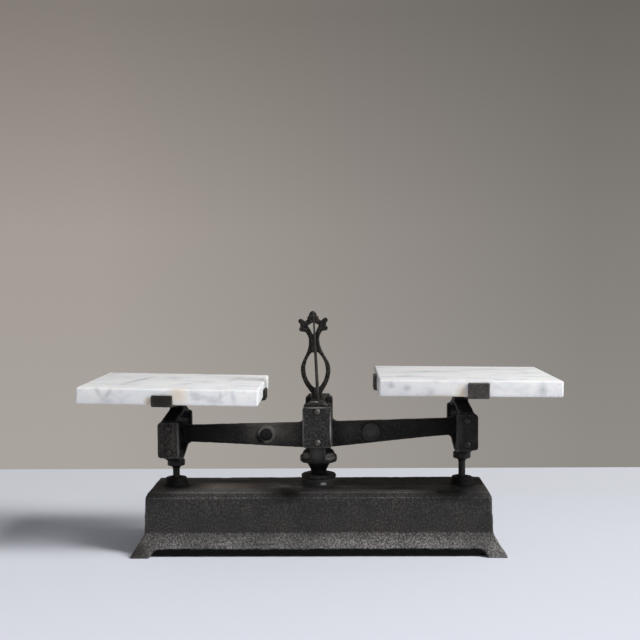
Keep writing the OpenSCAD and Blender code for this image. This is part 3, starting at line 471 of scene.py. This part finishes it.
carriageLook = {
    **ironLook, 'dark': '#080707', 'skin': '#181716', 'peakWear': 0.14, 'gloss': (0.5, 0.75),
}
wroughtLook = {
    **ironLook, 'grain': 0.0011, 'relief': 0.0004, 'peakWear': 0.34, 'edgeWear': 0.6, 'rusting': 0.8,
    'dark': '#141210', 'skin': '#2a2724', 'rust': '#40301f', 'bare': '#716b64', 'gloss': (0.5, 0.7),
}
marbleLook = {
    'ior': 1.49, 'specular': 0.25, 'gloss': (0.4, 0.6),
    'glow': 0.12, 'glowDepth': 0.004,  # how much light the stone lets in, and how deep, in metres
    'cloud': 0.045, 'clouded': (0.42, 0.75), 'bend': 0.02, 'vein': 0.07, 'veinWidth': 0.05,
    'white': '#f0f0ee', 'cloudy': '#dfe1e4', 'grey': '#b9bcc0',
}
steelLook = {'stained': (0.4, 0.66), 'stretch': (1, 1, 1)}


# Painted shade round a cover's screw heads, then its own streaks and lines, some of them painted edge
# highlights: each by its offset from the middle, its half sizes, its colour and its strength
def coverSpots(screws, streaks):
    low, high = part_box(screws)
    middle = (low + high) / 2
    headRadius, ring = 0.0036, 0.0062
    through = 0.1  # reaches both covers, front and rear
    # a painted dark ring of shade round each screw head
    screwRingShade = {'size': (ring, through, ring), 'colour': '#050505', 'strength': 12}
    spots = [{**screwRingShade, 'place': (middle.x, 0, z)} for z in (low.z + headRadius, high.z - headRadius)]
    for (aside, up), (halfWidth, halfHeight), colour, strength in streaks:
        spots.append({
            'place': (middle.x + aside, 0, middle.z + up), 'size': (halfWidth, through, halfHeight),
            'colour': colour, 'strength': strength})
    return spots


materials = {
    'base': castIron('sandCastIronBase', baseLook),
    'column': castIron('sandCastIronColumn', columnLook),
    'casting': castIron('sandCastIron', ironLook),
    'carriage': castIron('sandCastIronCarriage', carriageLook),
    'lyre': castIron('sandCastIronLyre', lyreLook),
    'beam': castIron('sandCastIronBeam', beamLook),
    'forkCover': castIron('groundIronPlate', {**coverLook, 'spots': coverSpots('fork_cover_screws', [
        # painted highlight lines along the right, left and top edges
        ((0.0146, 0), (0.0012, 0.0255), '#b5b2ad', 3),
        ((-0.0158, 0), (0.0012, 0.026), '#7a7874', 1.8),
        ((0, 0.0218), (0.019, 0.0012), '#9a9793', 2.6)])}),
    'leftCover': castIron('groundIronPlateBrowned', {
        **coverLook, 'dark': '#120f0c', 'skin': '#211c18', 'rusting': 0.6,
        'spots': coverSpots('left_cover_screws', [
            # a pale and a dark streak, then a painted highlight line along the right edge
            ((0.006, 0), (0.0028, 0.022), '#564f46', 1.3),
            ((-0.004, 0), (0.004, 0.024), '#120f0c', 1.2),
            ((0.0108, 0), (0.0011, 0.023), '#77726a', 2.2)])}),
    'rightCover': castIron('groundIronPlateDark', {
        **coverLook, 'dark': '#060505', 'skin': '#0e0d0d', 'peakWear': 0.12, 'edgeWear': 0.7,
        'spots': coverSpots('right_cover_screws', [
            ((-0.009, 0), (0.005, 0.024), '#474543', 1.2),
            ((-0.002, 0), (0.003, 0.024), '#060606', 1.6)])}),
    'leftWrought': castIron('wroughtIronStrap', wroughtLook),
    'rightWrought': castIron('wroughtIronStrapRubbed', {
        **wroughtLook, 'dark': '#2b2927', 'skin': '#474340', 'bare': '#8f8a84', 'peakWear': 0.6}),
    'screw': oldSteel('slottedScrewSteel', {
        **steelLook, 'metallic': 0.6, 'stain': 0.002, 'scratch': 0.0008,
        'bright': '#726f6a', 'dark': '#1b1917', 'gloss': (0.5, 0.7), 'relief': 0.00006}),
    'darkScrew': oldSteel('slottedScrewSteelOiled', {
        **steelLook, 'metallic': 0.6, 'stain': 0.004, 'scratch': 0.0008,
        'bright': '#3f3c39', 'dark': '#151413', 'gloss': (0.45, 0.65), 'relief': 0.00006}),
    'hardSteel': oldSteel('groundToolSteel', {
        **steelLook, 'metallic': 1, 'stain': 0.008, 'scratch': 0.0006, 'stretch': (1, 0.1, 1),
        'bright': '#5b5854', 'dark': '#25221f', 'gloss': (0.3, 0.5), 'relief': 0.00003}),
    'darkSteel': oldSteel('turnedDarkSteel', {
        **steelLook, 'metallic': 0.5, 'stain': 0.006, 'scratch': 0.001, 'stretch': (1, 1, 4),
        'bright': '#201d1b', 'dark': '#0b0a0a', 'gloss': (0.42, 0.65), 'relief': 0.0002}),
    'needle': oldSteel('drawnNeedleSteel', {
        **steelLook, 'metallic': 0.5, 'stain': 0.006, 'scratch': 0.0008, 'stretch': (1, 1, 0.2),
        'bright': '#45423e', 'dark': '#1b1917', 'gloss': (0.4, 0.6), 'relief': 0.0001}),
    'leftMarble': polishedMarble('polishedMarbleLeft', {
        **marbleLook, 'shift': (0.02, 0.05, 0), 'turn': (0, 0, 0.6), 'stretch': (1, 2.4, 1.6),
        'spots': [  # veins and tan stains of the front face, then long veins of the top
            {'place': (-0.2385, -0.083, 0.19), 'size': (0.004, 0.01, 0.013), 'turn': (0, -0.5, 0),
             'colour': '#abadb1', 'strength': 1},
            {'place': (-0.2275, -0.083, 0.19), 'size': (0.0035, 0.01, 0.013), 'turn': (0, 0.6, 0),
             'colour': '#abadb1', 'strength': 1},
            {'place': (-0.151, -0.083, 0.1855), 'size': (0.013, 0.012, 0.018),
             'colour': '#dccdb6', 'strength': 1.9},
            {'place': (-0.184, -0.083, 0.178), 'size': (0.006, 0.008, 0.009),
             'colour': '#cdb593', 'strength': 1.9},
            {'place': (-0.23, -0.083, 0.18), 'size': (0.012, 0.01, 0.006),
             'colour': '#c3c5c9', 'strength': 1.2},
            {'place': (-0.105, -0.083, 0.186), 'size': (0.003, 0.006, 0.007),
             'colour': '#bfc1c5', 'strength': 1},
            {'place': (-0.091, -0.083, 0.184), 'size': (0.004, 0.006, 0.011), 'turn': (0, -0.2, 0),
             'colour': '#bfc1c5', 'strength': 1.2},
            {'place': (-0.21, 0, 0.1955), 'size': (0.007, 0.055, 0.012), 'turn': (0, 0, -0.26),
             'colour': '#adb0b6', 'strength': 1.5},
            {'place': (-0.15, -0.03, 0.1945), 'size': (0.006, 0.035, 0.012), 'turn': (0, 0, -0.5),
             'colour': '#b6b9be', 'strength': 0.9},
            {'place': (-0.1, 0.03, 0.1935), 'size': (0.008, 0.05, 0.012), 'turn': (0, 0, -0.15),
             'colour': '#b6b9be', 'strength': 0.8},
        ]}),
    'rightMarble': polishedMarble('polishedMarbleRight', {
        **marbleLook, 'shift': (0.3, 0.1, 0), 'turn': (0, 0, 0.15), 'stretch': (1, 2.8, 1.6),
        'spots': [  # veins and tan stains of the front face, then long veins of the top
            {'place': (0.081, -0.083, 0.196), 'size': (0.005, 0.006, 0.004),
             'colour': '#bdbfc4', 'strength': 1.5},
            {'place': (0.0985, -0.083, 0.1935), 'size': (0.006, 0.006, 0.005),
             'colour': '#bbbdc2', 'strength': 1.6},
            {'place': (0.1245, -0.083, 0.1885), 'size': (0.006, 0.006, 0.006),
             'colour': '#bdbfc4', 'strength': 1.3},
            {'place': (0.245, -0.083, 0.191), 'size': (0.007, 0.008, 0.011),
             'colour': '#b4b6bb', 'strength': 1.6},
            {'place': (0.158, -0.083, 0.186), 'size': (0.009, 0.012, 0.013),
             'colour': '#d3bd9b', 'strength': 1.9},
            {'place': (0.14, -0.083, 0.183), 'size': (0.026, 0.01, 0.005),
             'colour': '#d9c7ab', 'strength': 1.4},
            {'place': (0.13, 0.01, 0.2025), 'size': (0.06, 0.009, 0.012), 'turn': (0, 0, 0.08),
             'colour': '#adb0b6', 'strength': 1.2},
            {'place': (0.21, 0.045, 0.2015), 'size': (0.06, 0.01, 0.012), 'turn': (0, 0, -0.06),
             'colour': '#adb0b6', 'strength': 1.2},
            {'place': (0.1, -0.045, 0.2025), 'size': (0.05, 0.007, 0.012), 'turn': (0, 0, 0.05),
             'colour': '#adb0b6', 'strength': 1},
        ]}),
}
print('materials ready:', len(materials))


def selectOnly(piece):
    bpy.ops.object.select_all(action='DESELECT')
    piece.select_set(True)
    bpy.context.view_layer.objects.active = piece


def finish(piece, kind, **settings):
    selectOnly(piece)
    bpy.ops.object.modifier_add(type=kind)
    modifier = piece.modifiers[-1]
    for name, value in settings.items():
        setattr(modifier, name, value)
    bpy.ops.object.modifier_apply(modifier=modifier.name)


mergeDistance = 1e-6  # metres


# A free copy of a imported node, its loose triangles joined up
def copyNode(nodeName, name):
    piece = bpy.data.objects.new(name, nodes[nodeName].data.copy())
    bpy.context.collection.objects.link(piece)
    piece.data.materials.clear()
    selectOnly(piece)
    bpy.ops.object.mode_set(mode='EDIT')
    bpy.ops.mesh.select_all(action='SELECT')
    bpy.ops.mesh.remove_doubles(threshold=mergeDistance)
    bpy.ops.object.mode_set(mode='OBJECT')
    return piece


# Rounds a casting's edges and gives its skin the mould's unevenness
def castSkin(piece, look):
    finish(piece, 'REMESH', mode='VOXEL', voxel_size=look['voxel'])
    finish(piece, 'SMOOTH', factor=0.5, iterations=look['rounding'])
    for number, (wave, height) in enumerate(look['lumps']):
        texture = bpy.data.textures.new(f'{piece.name}Lumps{number}', 'CLOUDS')
        texture.noise_scale = wave
        finish(piece, 'DISPLACE', texture=texture, strength=height, mid_level=0.5, texture_coords='LOCAL')


def dress(piece, material, body, nodeName):
    piece.data.materials.clear()
    piece.data.materials.append(materials[material])
    selectOnly(piece)
    bpy.ops.object.shade_smooth()
    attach(piece, body)
    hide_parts(nodeName)
    print(piece.name, len(piece.data.polygons), 'faces')


# Voxels in metres, passes of smoothing, and each layer of lumps by its wave and height in metres
castings = {
    'base_casting': {'name': 'castBase', 'body': 'root', 'material': 'base', 'slot': 'cast_iron',
                     'voxel': 0.0016, 'rounding': 2, 'lumps': [(0.009, 0.0007), (0.03, 0.0009)]},
    'fork_column': {'name': 'castColumn', 'body': 'root', 'material': 'column', 'slot': 'cast_iron',
                    'voxel': 0.0007, 'rounding': 3, 'lumps': [(0.003, 0.0008)]},
    'index_frame': {'name': 'lyreIndex', 'body': 'root', 'material': 'lyre', 'slot': 'cast_iron',
                    'voxel': 0.0005, 'rounding': 9, 'lumps': [(0.003, 0.0006)]},
    'beam': {'name': 'castBeam', 'body': 'beam', 'material': 'beam', 'slot': 'cast_iron',
             'voxel': 0.0009, 'rounding': 3, 'lumps': [(0.007, 0.0006)]},
}
carriageCasting = {'material': 'carriage', 'slot': 'cast_iron',
                   'voxel': 0.0009, 'rounding': 2, 'lumps': [(0.006, 0.0005)]}
crossStrap = {'slot': 'cross_iron', 'voxel': 0.0009, 'rounding': 2, 'lumps': [(0.005, 0.0004)]}
coverPlate = {'slot': 'cover_iron', 'voxel': 0.0005, 'rounding': 4, 'lumps': [(0.006, 0.0003)]}
for side in ('left', 'right'):
    castings[f'{side}_carriage_frame'] = {
        **carriageCasting, 'name': f'{side}CarriageFrame', 'body': f'{side}_carriage'}
for side in ('left', 'right'):
    castings[f'{side}_plate_cross'] = {
        **crossStrap, 'name': f'{side}Cross', 'body': f'{side}_carriage', 'material': f'{side}Wrought'}
for nodeName, name, body, cover in (
        ('front_fork_cover', 'frontForkCover', 'root', 'forkCover'),
        ('rear_fork_cover', 'rearForkCover', 'root', 'forkCover'),
        ('left_front_cover', 'leftFrontCover', 'left_carriage', 'leftCover'),
        ('left_rear_cover', 'leftRearCover', 'left_carriage', 'leftCover'),
        ('right_front_cover', 'rightFrontCover', 'right_carriage', 'rightCover'),
        ('right_rear_cover', 'rightRearCover', 'right_carriage', 'rightCover')):
    castings[nodeName] = {**coverPlate, 'name': name, 'body': body, 'material': cover}

for nodeName, look in castings.items():
    piece = copyNode(nodeName, look['name'])
    castSkin(piece, look)
    dress(piece, look['material'], look['body'], nodeName)
print('castings ready')


# Marble plates: sawn slabs with rounded arrises
slab = {
    'width': 0.2, 'depth': 0.166, 'thickness': 0.018,  # metres
    'arris': 0.0022, 'arrisSteps': 4,
    'sharpAngle': 40,  # degrees between faces, past which an edge stays sharp
}


def makeSlab(side, name):
    low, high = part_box(f'{side}_marble_plate')
    lift = next(j for j in frame['joints'] if j['name'] == f'{side}_plate_lift')
    lean = math.atan2(lift['axis'][0], lift['axis'][2])
    bpy.ops.mesh.primitive_cube_add(size=1)
    piece = bpy.context.object
    piece.name = name
    piece.scale = (slab['width'], slab['depth'], slab['thickness'])
    bpy.ops.object.transform_apply(location=False, rotation=False, scale=True)
    finish(piece, 'BEVEL', width=slab['arris'], segments=slab['arrisSteps'])
    piece.location = (low + high) / 2
    piece.rotation_euler = (0, lean, 0)
    selectOnly(piece)
    bpy.ops.object.transform_apply(location=True, rotation=True, scale=True)
    dress(piece, f'{side}Marble', f'{side}_plate', f'{side}_marble_plate')
    bpy.ops.object.shade_smooth_by_angle(angle=math.radians(slab['sharpAngle']))


for side in ('left', 'right'):
    makeSlab(side, f'{side}MarbleSlab')
print('slabs ready')

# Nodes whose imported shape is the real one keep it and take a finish
finishes = {
    'screw': ['fork_cover_screws', 'index_screws'],
    'darkScrew': ['left_cover_screws', 'right_cover_screws'],
    'hardSteel': ['fork_bearings', 'left_carriage_bearings', 'right_carriage_bearings',
                  'middle_knife', 'left_end_knife', 'right_end_knife'],
    'darkSteel': ['column_bolt', 'column_washer', 'stay_pivot_pin', 'left_stem', 'right_stem',
                  'left_stem_nut', 'right_stem_nut', 'left_fork_pin', 'right_fork_pin',
                  'left_cross_screw', 'right_cross_screw'],
    'casting': ['stay_bar', 'stay_bracket', 'left_stem_fork', 'right_stem_fork'],
    'needle': ['needle'],
}
for finishName, nodeNames in finishes.items():
    for nodeName in nodeNames:
        for materialSlot in nodes[nodeName].material_slots:
            materialSlot.material = materials[finishName]
print('finishes set')
